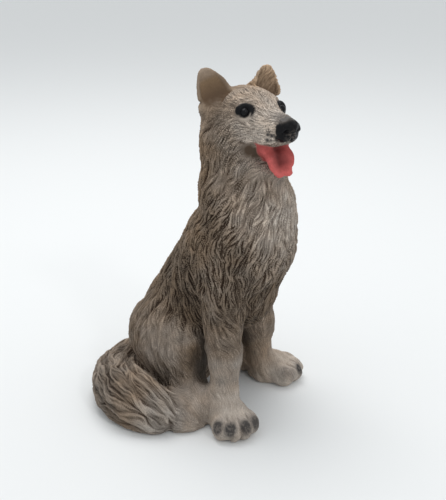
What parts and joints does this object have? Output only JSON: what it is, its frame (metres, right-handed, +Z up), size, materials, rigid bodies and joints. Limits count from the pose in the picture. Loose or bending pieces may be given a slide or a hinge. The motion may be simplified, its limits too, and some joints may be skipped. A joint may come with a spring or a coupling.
{
  "type": "husky puppy figurine",
  "caption": "Sitting husky puppy cast in one piece, with carved fur, upright ears, open mouth with hanging tongue and a bushy tail curled round its right side",
  "frame": {"origin": "middle of the figure's bounding box, on the plane it stands on", "axes": "+Z up; the puppy looks along -Y; its left side is at +X, and the tail curls round at -X"},
  "size_m": [0.053, 0.053, 0.0849],
  "materials": {
    "painted_resin": "hand-painted resin, dry-brushed, satin on nose, eyes and tongue"
  },
  "bodies": {
    "root": {"husky_figurine": "painted_resin"}
  },
  "joints": []
}
